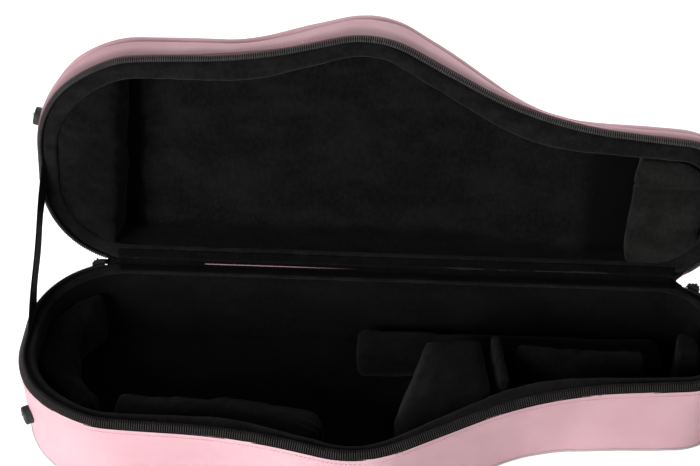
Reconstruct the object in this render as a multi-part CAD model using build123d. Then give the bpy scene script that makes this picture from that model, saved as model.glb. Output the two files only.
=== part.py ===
from build123d import *
import math
import os

# Alto saxophone case, shaped body, clamshell, shown with the lid open.
# Frame: X along the case (bell end at -X), Y across it (hinge at +Y), Z up.
# The origin is in the middle of the flat underside. All sizes are in millimetres.

# Overall sizes
case_length = 750.0
case_width = 274.0
base_height = 104.0
lid_depth_bell_end = 64.0
lid_depth_bell = 68.0
lid_depth_neck = 39.0
lid_high_share = 0.09
lid_low_share = 0.28
lid_bend_radius = 144.0
lid_open_angle = 106.0

# Skins, foam and lining
skin = 1.2
draft = 3.0
lid_draft = -5.0
edge_radius = 12.0
level_share = 0.9
foam_floor = 11.0
base_foam_wall = 12.0
lid_foam_wall = 19.0
foam_top = 10.0
lining = 2.0
overrun = 40.0
fit_gap = 0.2

# Zip and lip
tape_thickness = 1.0
tape_rise = 6.0
tape_lean = 4.0
tape_root = 8.0
teeth_size = 2.2
teeth_rise = 1.6
zip_gap = 0.6
tail_clearance = 1.6
base_lip_rise = 2.4
base_lip_radius = 1.2
lid_lip_rise = 5.0
lid_lip_radius = 2.0
lip_inset = 7.0
lip_flange_inset = 3.6
lip_flange = 1.0
lip_overhang = 1.0

# Hinge
hinge_inset = 4.2
hinge_strip_leg = 11.0
hinge_left_share = 0.112
hinge_right_share = 0.931

# Seams
seam_height = 11.0
lid_seam_depth = 16.0
piping_width = 2.6
piping_proud = 1.2

# End feet
foot_radius = 10.0
foot_height = 8.0
foot_round = 2.4
foot_turn = 27.0
foot_height_share = 0.52
lid_foot_turn = 14.7
lid_foot_depth = 18.0
rivet_radius = 3.2
rivet_height = 1.4

# Zip sliders and pulls
slider_length = 15.0
slider_width = 6.6
slider_thickness = 2.6
slider_corner = 3.0
slider_edge = 0.65
slider_inset = 2.9
slider_gap = 1.0
bail_length = 9.0
bail_rise = 3.6
bail_radius = 0.9
pull_clearance = 0.3
pull_eye_wall = 1.3
pull_length = 26.0
pull_width = 8.0
pull_thickness = 2.0

# Stay strap
strap_width = 42.0
strap_thickness = 1.6
strap_inset = 6.6
strap_share = 0.376

# Outlines. Each row is a corner: share of the length from the bell end, share of the
# width from the hinge line, and its radius as a share of the width.
run_limit_share = 0.985
rim_shares = [
    (0.000, 0.000, 0.365),
    (0.000, 0.883, 0.400),
    (0.317, 0.913, 2.190),
    (0.491, 1.030, 0.400),
    (0.735, 0.656, 1.390),
    (1.000, 0.584, 0.200),
    (1.000, 0.000, 0.274),
]
shell_shares = [
    (0.000, 0.000, 0.365),
    (0.000, 0.883, 0.400),
    (0.307, 0.883, 0.730),
    (0.491, 1.030, 0.347),
    (0.724, 0.630, 0.730),
    (1.000, 0.584, 0.200),
    (1.000, 0.000, 0.274),
]
bow_cushion_shares = [
    (0.068, 0.058, 0.040),
    (0.016, 0.200, 0.200),
    (0.014, 0.480, 0.250),
    (0.098, 0.752, 0.060),
    (0.127, 0.694, 0.040),
    (0.072, 0.510, 0.150),
    (0.060, 0.300, 0.182),
    (0.104, 0.108, 0.040),
]
front_bolster_shares = [
    (0.142, 0.640, 0.044),
    (0.139, 0.785, 0.044),
    (0.290, 0.812, 0.730),
    (0.405, 0.855, 0.109),
    (0.438, 0.805, 0.051),
    (0.428, 0.695, 0.088),
    (0.305, 0.640, 0.730),
]
bell_block_shares = [
    (0.571, 0.336, 0.036),
    (0.517, 0.861, 0.044),
    (0.667, 0.613, 0.044),
    (0.652, 0.321, 0.036),
]
divider_shares = [
    (0.660, 0.314, 0.018),
    (0.673, 0.584, 0.018),
    (0.692, 0.569, 0.018),
    (0.679, 0.307, 0.018),
]
neck_rail_shares = [
    (0.699, 0.314, 0.022),
    (0.699, 0.387, 0.022),
    (0.885, 0.401, 0.022),
    (0.885, 0.328, 0.022),
]
neck_bed_shares = [
    (0.701, 0.416, 0.022),
    (0.701, 0.555, 0.022),
    (0.800, 0.515, 0.219),
    (0.933, 0.489, 0.029),
    (0.933, 0.427, 0.022),
]
body_bed_shares = [
    (0.467, 0.102, 0.044),
    (0.467, 0.307, 0.044),
    (0.920, 0.285, 0.044),
    (0.920, 0.102, 0.044),
]
end_block_shares = [
    (0.929, 0.212, 0.029),
    (0.929, 0.380, 0.029),
    (0.964, 0.380, 0.029),
    (0.964, 0.255, 0.044),
]
lid_end_pad_shares = [
    (0.113, 0.046, 0.030),
    (0.060, 0.066, 0.180),
    (0.010, 0.270, 0.240),
    (0.006, 0.540, 0.360),
    (0.030, 0.740, 0.290),
    (0.084, 0.850, 0.150),
    (0.130, 0.856, 0.030),
]
lid_neck_pad_shares = [
    (0.853, 0.064, 0.050),
    (0.869, 0.545, 0.022),
    (0.974, 0.535, 0.102),
    (0.974, 0.064, 0.200),
]

# Pads. Tops are shares of the base's height, crowns and drawn-in sides are lengths.
pad_crown = 8.0
pad_draw = 2.5
slim_crown = 4.0
slim_draw = 1.0
pad_belly_share = 0.35
crown_step_shares = [(0.0, 0.0), (0.35, 0.08), (0.70, 0.34), (0.92, 0.72), (1.0, 1.0)]
bow_cushion_top_share = 0.82
front_bolster_top_share = 0.86
bell_block_top_share = 0.95
divider_top_share = 0.97
neck_rail_top_share = 0.86
neck_bed_top_share = 0.56
body_bed_top_share = 0.47
end_block_top_share = 0.88
lid_end_pad_sink = 1.0
lid_neck_pad_sink = 1.0
channel_width = 4.0
channel_depth = 2.5
neck_pad_seam_share = 0.398

# Places worked out from the sizes above
half_gap = tape_rise + zip_gap / 2
hinge_y = case_width / 2 - hinge_inset
hinge_z = base_height + half_gap
lid_rim_z = base_height + 2 * half_gap
hinge_axis = Axis((0, hinge_y, hinge_z), (1, 0, 0))
floor_z = skin + foam_floor + lining
base_cavity_inset = skin + base_foam_wall
lid_cavity_inset = skin + lid_foam_wall
base_lip_inner_inset = base_cavity_inset + lining + lip_overhang
lid_lip_inner_inset = lid_cavity_inset + lining + lip_overhang
foam_inset = draft + skin
lid_foam_inset = skin + tape_thickness + fit_gap
lid_height = max(lid_depth_bell, lid_depth_bell_end, lid_depth_neck) + edge_radius


def plan(x_share, y_share, z=0.0):
    """A point of the plan: shares of the length and width, from the hinge's bell end."""
    return Vector((x_share - 0.5) * case_length, (0.5 - y_share) * case_width, z)


def turn_of(arriving, leaving):
    """Above zero where an outline turns left, as at a corner that points outwards."""
    return arriving.X * leaving.Y - arriving.Y * leaving.X


def corners(shares, inset):
    """Corners of an outline moved inwards, each with its radius and its two directions. Two arcs
    that would meet on the run between them are limited by that run."""
    points = [plan(row[0], row[1]) for row in shares]
    count = len(points)
    bends = []
    for i, point in enumerate(points):
        arriving = (point - points[i - 1]).normalized()
        leaving = (points[(i + 1) % count] - point).normalized()
        half = math.acos(max(-1, min(1, arriving.dot(leaving)))) / 2
        radius = shares[i][2] * case_width
        bends.append((arriving, leaving, radius, radius * math.tan(half)))
    moved = []
    for i, point in enumerate(points):
        arriving, leaving, radius, taken = bends[i]
        before = (point - points[i - 1]).length / (bends[i - 1][3] + taken)
        after = (points[(i + 1) % count] - point).length / (taken + bends[(i + 1) % count][3])
        radius *= min(1, run_limit_share * before, run_limit_share * after)
        inward_a = Vector(-arriving.Y, arriving.X, 0)
        inward_b = Vector(-leaving.Y, leaving.X, 0)
        place = point + (inward_a + inward_b) * (inset / (1 + inward_a.dot(inward_b)))
        radius -= math.copysign(inset, turn_of(arriving, leaving))
        moved.append((place, radius, arriving, leaving))
    return moved


def outline(shares, inset, z):
    """A closed wire of lines and arcs, moved inwards by the inset."""
    arcs = []
    for place, radius, arriving, leaving in corners(shares, inset):
        half = math.acos(max(-1, min(1, arriving.dot(leaving)))) / 2
        run = radius * math.tan(half)
        towards = (leaving - arriving).normalized()
        middle = place + towards * (radius / math.cos(half) - radius)
        arcs.append((place - arriving * run, middle, place + leaving * run))
    lift = Vector(0, 0, z)
    edges = []
    for i, (start, middle, end) in enumerate(arcs):
        following = arcs[(i + 1) % len(arcs)][0]
        edges.append(ThreePointArc(start + lift, middle + lift, end + lift).edge())
        edges.append(Line(end + lift, following + lift).edge())
    return Wire(edges)


def arc_centre(corner):
    """Centre of the arc at a corner, and its radius."""
    place, radius, arriving, leaving = corner
    half = math.acos(arriving.dot(leaving)) / 2
    return place + (leaving - arriving).normalized() * (radius / math.cos(half)), radius


def hinge_side(x, inset):
    """Where the hinge side of the shell outline, moved inwards, lies at a place along the case."""
    moved = corners(shell_shares, inset)
    edge_y = moved[0][0].Y
    for corner, side in ((moved[0], -1), (moved[-1], 1)):
        centre, radius = arc_centre(corner)
        past = max(0, side * (x - centre.X))
        edge_y = min(edge_y, centre.Y + math.sqrt(radius ** 2 - past ** 2))
    return edge_y


def stacked(*sections):
    """A solid through outlines given as shares, inset and height."""
    return Solid.make_loft([outline(*section) for section in sections], ruled=True)


def upright(shares, inset, z_low, z_high):
    """A solid with upright walls on an outline."""
    return extrude(make_face(outline(shares, inset, z_low)), z_high - z_low)


def slab(z_low, z_high):
    """A block over the whole plan between two heights."""
    size = 2 * (case_length + overrun)
    return Pos(0, 0, z_low) * Box(size, size, z_high - z_low, align=(Align.CENTER, Align.CENTER, Align.MIN))


def one_sided(faces):
    """Edges that belong to one face only of a group of faces."""
    seen = {}
    for face in faces:
        for edge in face.edges():
            middle = edge.center()
            key = (round(middle.X, 2), round(middle.Y, 2), round(middle.Z, 2))
            seen.setdefault(key, []).append(edge)
    return [group[0] for group in seen.values() if len(group) == 1]


def rounded(solid, facing, radius):
    """A solid with the rim of its up or down face rounded."""
    if radius < skin:
        return solid
    faces = [face for face in solid.faces() if face.normal_at().Z * facing > level_share]
    return fillet(one_sided(faces), radius=radius)


def base_block(depth, rounding=edge_radius):
    """The base's fabric outside, moved inwards by a depth."""
    block = stacked((shell_shares, draft + depth, 0), (rim_shares, depth, base_height))
    return rounded(block & slab(depth, base_height), -1, rounding - depth)


def base_foam_block():
    """Outside of the base's foam: inside the fabric and the zip's root."""
    return rounded(upright(shell_shares, foam_inset, skin, base_height), -1, edge_radius - skin)


def base_cavity(extra):
    """The hollow of the base, moved inwards by an extra thickness."""
    return upright(shell_shares, base_cavity_inset + extra, skin + foam_floor + extra, base_height)


def lid_profile(depth):
    """Everything under the lid's side profile, lowered by a depth. It runs across the case."""
    crest = FilletPolyline(
        (-case_length, lid_depth_bell_end - depth, 0),
        (lid_high_share * case_length, lid_depth_bell - depth, 0),
        (lid_low_share * case_length, lid_depth_neck - depth, 0),
        (case_length, lid_depth_neck - depth, 0),
        radius=[lid_bend_radius, lid_bend_radius],
    )
    under = Polyline(crest @ 1, (case_length, -overrun, 0), (-case_length, -overrun, 0), crest @ 0)
    face = Plane.XZ * make_face([*crest.edges(), *under.edges()])
    return extrude(face, amount=case_width, both=True)


def lid_block(depth, rounding=edge_radius):
    """The lid's fabric outside in its own frame: rim at 0, crown up."""
    block = stacked((rim_shares, depth, 0), (shell_shares, lid_draft + depth, lid_height))
    return rounded(block & lid_profile(depth), 1, rounding - depth)


def lid_foam_block():
    """Outside of the lid's foam, clear of the fabric."""
    depth = skin + fit_gap
    block = stacked((shell_shares, lid_foam_inset, 0), (shell_shares, lid_draft + depth, lid_height))
    return rounded(block & lid_profile(depth), 1, edge_radius - depth)


def lid_cavity(extra):
    """The hollow of the lid, moved inwards by an extra thickness."""
    hollow = upright(shell_shares, lid_cavity_inset + extra, 0, lid_height)
    return hollow & lid_profile(skin + foam_top + extra)


def opened(piece):
    """A lid piece from the lid's own frame to its place, with the lid open."""
    return piece.moved(Location((0, 0, lid_rim_z))).rotate(hinge_axis, -lid_open_angle)


def hinge_opening(margin):
    """A block over the hinge line, where the zip does not run."""
    x_left = plan(hinge_left_share, 0).X - margin
    x_right = plan(hinge_right_share, 0).X + margin
    depth = 2 * (hinge_inset + lip_inset)
    block = Box(x_right - x_left, depth, 4 * base_height, align=(Align.MIN, Align.MAX, Align.CENTER))
    return Pos(x_left, case_width / 2 + hinge_inset, 0) * block


def zip_tape():
    """One half of the zip's tape above the rim, leaning inwards."""
    outer = stacked((rim_shares, skin, 0), (rim_shares, skin + tape_lean, tape_rise))
    inner_inset = skin + tape_thickness
    inner = stacked((rim_shares, inner_inset, 0), (rim_shares, inner_inset + tape_lean, tape_rise))
    return outer - inner - hinge_opening(slider_length)


def zip_teeth():
    """The row of teeth: a bead inside the tape's free edge."""
    top = tape_rise - fit_gap
    low = top - teeth_rise
    lean = tape_lean / tape_rise
    start = skin + tape_thickness + fit_gap
    outer = stacked((rim_shares, start + lean * low, low), (rim_shares, start + lean * top, top))
    start += teeth_size
    inner = stacked((rim_shares, start + lean * low, low), (rim_shares, start + lean * top, top))
    return outer - inner - hinge_opening(slider_length)


def lip_ring(inner_inset, rise, radius):
    """The padded lip on a rim: a thin flange under a rounded bead."""
    flange = upright(shell_shares, lip_flange_inset, 0, lip_flange)
    bead = upright(shell_shares, lip_inset + teeth_size, 0, rise)
    hole = upright(shell_shares, inner_inset, -overrun, overrun)
    ring = bead - hole
    edges = [edge for edge in ring.edges() if edge.center().Z > rise - fit_gap]
    return fillet(edges, radius=radius) + (flange - hole)


def seam_bead(block, outside, band):
    """A piping bead: what stands proud of a block within a band."""
    return (outside & band) - block


def pad(shares, z_low, z_high, crown, draw):
    """A cushion block: drawn in at its foot, a belly, and a crown that its corners limit."""
    outward = [row[1] for row in corners(shares, 0) if turn_of(row[2], row[3]) > 0]
    crown = min(crown, run_limit_share * min(outward))
    belly = z_low + (z_high - z_low) * pad_belly_share
    sections = [(shares, draw, z_low), (shares, 0, belly)]
    for rise, move in crown_step_shares:
        sections.append((shares, move * crown, z_high - crown + rise * crown))
    return stacked(*sections)


def end_foot(shell, turn, height):
    """A rubber foot on the bell end of a shell, with its rivet, square to the wall it sits on."""
    centre = arc_centre(corners(rim_shares, 0)[1])[0] + Vector(0, 0, height)
    angle = math.radians(180 + turn)
    outwards = Vector(math.cos(angle), math.sin(angle), 0)
    hits = shell.find_intersection_points(Axis(centre, outwards))
    point, normal = max(hits, key=lambda hit: (hit[0] - centre).dot(outwards))
    normal = normal * math.copysign(1, normal.dot(outwards))
    frame = Plane(origin=point + normal * fit_gap, x_dir=(0, 0, 1), z_dir=normal)
    block = Cylinder(foot_radius, foot_height, align=(Align.CENTER, Align.CENTER, Align.MIN))
    block = fillet(block.edges().sort_by(Axis.Z)[-1], radius=foot_round)
    head = Cylinder(rivet_radius, rivet_height, align=(Align.CENTER, Align.CENTER, Align.MIN))
    head = fillet(head.edges().sort_by(Axis.Z)[-1], radius=rivet_height / 2)
    return frame * block, frame * (Pos(0, 0, foot_height) * head)


def tail_end(x_share, side):
    """Where the closed end of the zip meets the free zip, along the case."""
    return plan(x_share, 0).X + side * (slider_length - tape_lean / 2)


def slider_frame(corner_index, side, x_share, gap):
    """Where a slider sits on the zip, its near end a gap past the zip's closed end: x along the
    zip, z outwards, y down the wall."""
    centre, radius = arc_centre(corners(rim_shares, slider_inset)[corner_index])
    reach = side * (tail_end(x_share, side) - centre.X) + gap
    half = slider_length / 2
    angle = math.acos(reach / math.hypot(radius, half)) - math.atan2(half, radius)
    outwards = Vector(side * math.cos(angle), math.sin(angle), 0)
    seat = centre + outwards * radius + Vector(0, 0, hinge_z)
    return Plane(origin=seat, x_dir=Vector(-outwards.Y, outwards.X, 0), z_dir=outwards)


def slider(frame):
    """A zip slider: a rounded plate and a bridge with a bar for the pull."""
    plate = extrude(RectangleRounded(slider_length, slider_width, slider_corner), slider_thickness)
    plate = fillet(plate.edges().group_by(Axis.Z)[-1], radius=slider_edge)
    bar_z = slider_thickness + bail_rise
    bar = Pos(0, 0, bar_z) * Rot(0, 90, 0) * Cylinder(bail_radius, bail_length)
    posts = []
    for end in (-1, 1):
        post_x = end * (bail_length / 2 - bail_radius)
        post = Cylinder(bail_radius, bar_z, align=(Align.CENTER, Align.CENTER, Align.MIN))
        posts.append(Pos(post_x, 0, 0) * post)
    return frame * (plate + bar + posts[0] + posts[1])


def zip_pull(frame):
    """A pull hanging on the slider's bar: an eye round the bar and a flat tab."""
    bar_z = slider_thickness + bail_rise
    bore = bail_radius + pull_clearance
    eye_radius = bore + pull_eye_wall
    eye = Rot(0, 90, 0) * Cylinder(eye_radius, pull_thickness)
    tab = Box(pull_width, pull_length, pull_thickness, align=(Align.CENTER, Align.MAX, Align.CENTER))
    tab = fillet(tab.edges().filter_by(Axis.Z), radius=pull_width / 3)
    neck = Box(pull_thickness, 2 * eye_radius, pull_thickness, align=(Align.CENTER, Align.MAX, Align.CENTER))
    hole = Rot(0, 90, 0) * Cylinder(bore, overrun)
    shape = eye + neck + Pos(0, -2 * eye_radius, 0) * tab - hole
    return frame * (Pos(0, 0, bar_z) * shape)


def opened_point(y, z):
    """A point of the closed lid, given across and up, as it stands with the lid open."""
    angle = math.radians(-lid_open_angle)
    across = y - hinge_y
    above = z - hinge_z
    return (
        hinge_y + across * math.cos(angle) - above * math.sin(angle),
        hinge_z + across * math.sin(angle) + above * math.cos(angle),
    )


def strip(points, thickness, x_low, x_high):
    """A strip of fabric along X whose section follows points, thickened to their right."""
    path = [Vector(y, z, 0) for y, z in points]
    sides = []
    for i, point in enumerate(path):
        before = (point - path[i - 1]).normalized() if i > 0 else None
        after = (path[i + 1] - point).normalized() if i < len(path) - 1 else None
        before = before or after
        after = after or before
        normal_a = Vector(before.Y, -before.X, 0)
        normal_b = Vector(after.Y, -after.X, 0)
        sides.append(point + (normal_a + normal_b) * (thickness / (1 + normal_a.dot(normal_b))))
    section = Polyline(*path, *reversed(sides), close=True)
    plane = Plane(origin=(x_low, 0, 0), x_dir=(0, 1, 0), z_dir=(1, 0, 0))
    return extrude(plane * make_face(section), x_high - x_low)


def hinge_fabric():
    """The outer fabric of the hinge: on the back of the base, folded, and under the lid's wall."""
    base_leg = (case_width / 2 + fit_gap, base_height - hinge_strip_leg)
    lid_top = opened_point(case_width / 2 + fit_gap, lid_rim_z)
    lean = -lid_draft * hinge_strip_leg / lid_height
    lid_leg = opened_point(case_width / 2 + fit_gap + lean, lid_rim_z + hinge_strip_leg)
    slope = (lid_leg[1] - lid_top[1]) / (lid_leg[0] - lid_top[0])
    fold = (base_leg[0], lid_top[1] + slope * (base_leg[0] - lid_top[0]))
    x_low = plan(hinge_left_share, 0).X
    x_high = plan(hinge_right_share, 0).X
    return strip([base_leg, fold, lid_leg], skin, x_low, x_high)


def hinge_lining():
    """The inner fabric of the hinge, over the lips of the base and the lid."""
    lip_y = case_width / 2 - lip_inset - teeth_size
    base_face = base_height + base_lip_rise + fit_gap
    base_inner = (case_width / 2 - base_lip_inner_inset + base_lip_radius, base_face)
    base_outer = (lip_y - base_lip_radius, base_face)
    lid_face = lid_rim_z - lid_lip_rise - fit_gap
    lid_outer = opened_point(lip_y - lid_lip_radius, lid_face)
    lid_inner = opened_point(case_width / 2 - lid_lip_inner_inset + lid_lip_radius, lid_face)
    x_low = plan(hinge_left_share, 0).X
    x_high = plan(hinge_right_share, 0).X
    return strip([lid_inner, lid_outer, base_outer, base_inner], tape_thickness, x_low, x_high)


def zip_tail(x_share, side):
    """The closed end of the zip: a web between the two rims where the hinge begins."""
    x_out = tail_end(x_share, side)
    y_out = hinge_side(x_out, lip_inset + teeth_size) + tail_clearance
    root = Vector(plan(x_share, 0).X, hinge_y, hinge_z)
    low = Vector(x_out, y_out, base_height + 2 * lip_flange)
    lid_y, lid_z = opened_point(y_out, lid_rim_z - 2 * lip_flange)
    high = Vector(x_out, lid_y, lid_z)
    face = make_face(Polyline(root, low, high, close=True))
    return extrude(face, tape_thickness / 2, both=True)


def stay_strap():
    """The webbing strap that stops the lid, taut between the edges of the two zip tapes."""
    x_mid = -case_length / 2 + strap_inset
    y_mid = plan(0, strap_share).Y
    half = strap_width / 2
    lift = tape_rise + 2 * fit_gap
    base_points = []
    lid_points = []
    for run in (-1, 1):
        base_points.append(Vector(x_mid, y_mid + run * half, base_height + lift))
        y, z = opened_point(y_mid + run * half, lid_rim_z - lift)
        lid_points.append(Vector(x_mid, y, z))
    face = make_face(Polyline(*base_points, *reversed(lid_points), close=True))
    return extrude(face, strap_thickness / 2, both=True)


nodes = {}

# Base: fabric, foam, lining, rim
outer_base = base_block(0)
inner_base = base_block(skin)
base_skin = outer_base - inner_base
nodes["base_bottom_panel"] = base_skin & slab(0, seam_height)
nodes["base_side_band"] = base_skin & slab(seam_height, base_height)
piping_band = slab(seam_height - piping_width / 2, seam_height + piping_width / 2)
nodes["base_piping"] = seam_bead(outer_base, base_block(-piping_proud), piping_band)
nodes["base_foam_shell"] = base_foam_block() - base_cavity(0)
nodes["base_lining"] = base_cavity(0) - base_cavity(lining)
base_lip = lip_ring(base_lip_inner_inset, base_lip_rise, base_lip_radius)
nodes["base_lip"] = Pos(0, 0, base_height) * base_lip
tape_ring = (inner_base - base_block(skin + tape_thickness)) & slab(base_height - tape_root, base_height)
nodes["base_zip_tape"] = (tape_ring - hinge_opening(slider_length)) + Pos(0, 0, base_height) * zip_tape()
nodes["base_zip_teeth"] = Pos(0, 0, base_height) * zip_teeth()

# Base: the cushions that hold the instrument
base_pads = {
    "bow_cushion": (bow_cushion_shares, bow_cushion_top_share, pad_crown, pad_draw),
    "front_bolster": (front_bolster_shares, front_bolster_top_share, pad_crown, pad_draw),
    "bell_block": (bell_block_shares, bell_block_top_share, pad_crown, pad_draw),
    "divider_pad": (divider_shares, divider_top_share, slim_crown, slim_draw),
    "neck_rail": (neck_rail_shares, neck_rail_top_share, slim_crown, slim_draw),
    "neck_bed": (neck_bed_shares, neck_bed_top_share, slim_crown, slim_draw),
    "body_bed": (body_bed_shares, body_bed_top_share, pad_crown, pad_draw),
    "end_block": (end_block_shares, end_block_top_share, slim_crown, slim_draw),
}
base_hollow = upright(shell_shares, base_cavity_inset + lining + fit_gap, floor_z, base_height)
for name, (shares, top_share, crown, draw) in base_pads.items():
    nodes[name] = pad(shares, floor_z, top_share * base_height, crown, draw) & base_hollow

# Base: end foot, with its rivet
base_foot, base_rivet = end_foot(outer_base, foot_turn, foot_height_share * base_height)
nodes["base_end_foot"] = base_foot
nodes["base_foot_rivet"] = base_rivet

# Lid, in its own frame
outer_lid = lid_block(0)
inner_lid = lid_block(skin)
lid_skin = outer_lid - inner_lid
over_seam = lid_profile(0) - lid_profile(lid_seam_depth)
lid_nodes = {}
lid_nodes["lid_panel"] = lid_skin & over_seam
lid_nodes["lid_side_band"] = lid_skin & lid_profile(lid_seam_depth)
lid_piping_band = lid_profile(lid_seam_depth - piping_width / 2) - lid_profile(lid_seam_depth + piping_width / 2)
lid_nodes["lid_piping"] = seam_bead(outer_lid, lid_block(-piping_proud), lid_piping_band)
lid_nodes["lid_foam_shell"] = lid_foam_block() - lid_cavity(0)
lid_nodes["lid_lining"] = lid_cavity(0) - lid_cavity(lining)
lid_nodes["lid_lip"] = lip_ring(lid_lip_inner_inset, lid_lip_rise, lid_lip_radius).mirror(Plane.XY)
lid_tape_ring = (inner_lid - lid_block(skin + tape_thickness)) & slab(0, tape_root)
lid_nodes["lid_zip_tape"] = (lid_tape_ring - hinge_opening(slider_length)) + zip_tape().mirror(Plane.XY)
lid_nodes["lid_zip_teeth"] = zip_teeth().mirror(Plane.XY)
lid_hollow = lid_cavity(lining)
end_pad = pad(lid_end_pad_shares, -lid_height, -lid_end_pad_sink, pad_crown, pad_draw)
lid_nodes["lid_end_pad"] = end_pad.mirror(Plane.XY) & lid_hollow
neck_pad = pad(lid_neck_pad_shares, -lid_height, -lid_neck_pad_sink, slim_crown, slim_draw)
channel = Pos(plan(1, neck_pad_seam_share, lid_neck_pad_sink)) * Box(case_width, channel_width, 2 * channel_depth)
lid_nodes["lid_neck_pad"] = (neck_pad.mirror(Plane.XY) - channel) & lid_hollow
lid_foot, lid_rivet = end_foot(outer_lid, lid_foot_turn, lid_foot_depth)
lid_nodes["lid_end_foot"] = lid_foot
lid_nodes["lid_foot_rivet"] = lid_rivet
for name, piece in lid_nodes.items():
    nodes[name] = opened(piece)

# What crosses the hinge, and the zip's sliders
nodes["hinge_fabric"] = hinge_fabric()
nodes["hinge_lining"] = hinge_lining()
nodes["stay_strap"] = stay_strap()
nodes["zip_tail_left"] = zip_tail(hinge_left_share, -1)
nodes["zip_tail_right"] = zip_tail(hinge_right_share, 1)
slider_places = {
    "left": slider_frame(0, -1, hinge_left_share, slider_gap),
    "right": slider_frame(6, 1, hinge_right_share, slider_gap),
}
for side, frame in slider_places.items():
    nodes["zip_slider_" + side] = slider(frame)
    nodes["zip_pull_" + side] = zip_pull(frame)
    bar = frame.from_local_coords((0, 0, slider_thickness + bail_rise))
    print("pull axis", side, bar, frame.x_dir)

os.makedirs("parts", exist_ok=True)
for name, piece in nodes.items():
    export_step(piece, "parts/" + name + ".step")
print("hinge axis", hinge_y, hinge_z)
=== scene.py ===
"""Looks for the alto saxophone case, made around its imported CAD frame. All sizes are in metres.

Nearly every surface is a sweep round the case. Its columns follow the case's outline, its rows are
(share from rim outline to shell outline, inset, share of the shell's depth, added depth, share
drawn in to the spine). Depth is measured from a rim: down in the base, up in the closed lid.
"""

import math

import bmesh
import bpy
import numpy as np
from mathutils import Matrix, Vector


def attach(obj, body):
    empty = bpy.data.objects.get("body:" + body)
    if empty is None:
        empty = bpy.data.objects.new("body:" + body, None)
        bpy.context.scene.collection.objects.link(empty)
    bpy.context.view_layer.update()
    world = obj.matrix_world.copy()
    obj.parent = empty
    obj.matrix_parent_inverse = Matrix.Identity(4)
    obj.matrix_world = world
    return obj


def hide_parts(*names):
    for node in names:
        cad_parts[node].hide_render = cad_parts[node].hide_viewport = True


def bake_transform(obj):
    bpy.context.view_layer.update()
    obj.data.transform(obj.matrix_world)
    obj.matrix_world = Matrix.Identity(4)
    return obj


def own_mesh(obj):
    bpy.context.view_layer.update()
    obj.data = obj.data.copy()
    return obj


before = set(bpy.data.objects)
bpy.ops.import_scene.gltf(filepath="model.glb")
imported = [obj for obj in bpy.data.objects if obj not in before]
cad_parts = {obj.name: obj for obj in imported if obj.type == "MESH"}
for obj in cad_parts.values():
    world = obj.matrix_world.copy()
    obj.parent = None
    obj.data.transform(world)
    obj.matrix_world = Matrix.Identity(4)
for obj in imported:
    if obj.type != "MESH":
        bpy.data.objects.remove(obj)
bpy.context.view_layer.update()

# Sizes shared with the part's source
LENGTH = 0.750
WIDTH = 0.274
BASE_HEIGHT = 0.104
HALF_GAP = 0.0063
LID_RIM = BASE_HEIGHT + 2 * HALF_GAP
HINGE_Y = WIDTH / 2 - 0.0042
HINGE_Z = BASE_HEIGHT + HALF_GAP
OPEN_ANGLE = math.radians(106)
FLOOR = 0.0142
LINING_INSET = {"base": 0.0152, "lid": 0.0222}
HINGE_LEFT = (0.112 - 0.5) * LENGTH
HINGE_RIGHT = (0.931 - 0.5) * LENGTH
ZIP_STOP = 0.015

# Corners of the two outlines: share of the length, share of the width, radius as a share of the width
RIM = np.array([
    (0.000, 0.000, 0.365), (0.000, 0.883, 0.400), (0.317, 0.913, 2.190), (0.491, 1.030, 0.400),
    (0.735, 0.656, 1.390), (1.000, 0.584, 0.200), (1.000, 0.000, 0.274),
])
SHELL = np.array([
    (0.000, 0.000, 0.365), (0.000, 0.883, 0.400), (0.307, 0.883, 0.730), (0.491, 1.030, 0.347),
    (0.724, 0.630, 0.730), (1.000, 0.584, 0.200), (1.000, 0.000, 0.274),
])
COLUMN_SPACING = 0.0055


# Shapes ---------------------------------------------------------------------------------------

def corner_arcs(shares, inset):
    """Start, centre and signed angle of each corner's arc, for an outline moved inwards."""
    points = np.column_stack([(shares[:, 0] - 0.5) * LENGTH, (0.5 - shares[:, 1]) * WIDTH])
    arriving = points - np.roll(points, 1, axis=0)
    arriving /= np.linalg.norm(arriving, axis=1, keepdims=True)
    leaving = np.roll(arriving, -1, axis=0)
    inward = np.stack([-arriving[:, 1] - leaving[:, 1], arriving[:, 0] + leaving[:, 0]], axis=1)
    dot = np.sum(arriving * leaving, axis=1)
    turn = arriving[:, 0] * leaving[:, 1] - arriving[:, 1] * leaving[:, 0]
    place = points + inward * (inset / (1 + dot))[:, None]
    radius = shares[:, 2] * WIDTH - np.sign(turn) * inset
    half = np.arccos(np.clip(dot, -1, 1)) / 2
    start = place - arriving * (radius * np.tan(half))[:, None]
    side = np.stack([-arriving[:, 1], arriving[:, 0]], axis=1) * np.sign(turn)[:, None]
    return start, start + side * radius[:, None], 2 * half * np.sign(turn)


def column_counts(shares, spacing):
    """How many columns each arc and each straight run of an outline gets."""
    start, centre, angle = corner_arcs(shares, 0.0)
    radius = np.linalg.norm(start - centre, axis=1)
    end = turned(start, centre, angle)
    arcs = np.maximum(3, np.ceil(np.abs(angle) * radius / spacing)).astype(int)
    runs = np.linalg.norm(np.roll(start, -1, axis=0) - end, axis=1)
    return arcs, np.maximum(1, np.ceil(runs / spacing)).astype(int)


def turned(points, centre, angle):
    """Points turned about centres by angles, in the plan."""
    away = points - centre
    cos, sin = np.cos(angle)[..., None], np.sin(angle)[..., None]
    return centre + away * cos + np.stack([-away[..., 1], away[..., 0]], axis=-1) * sin


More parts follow.
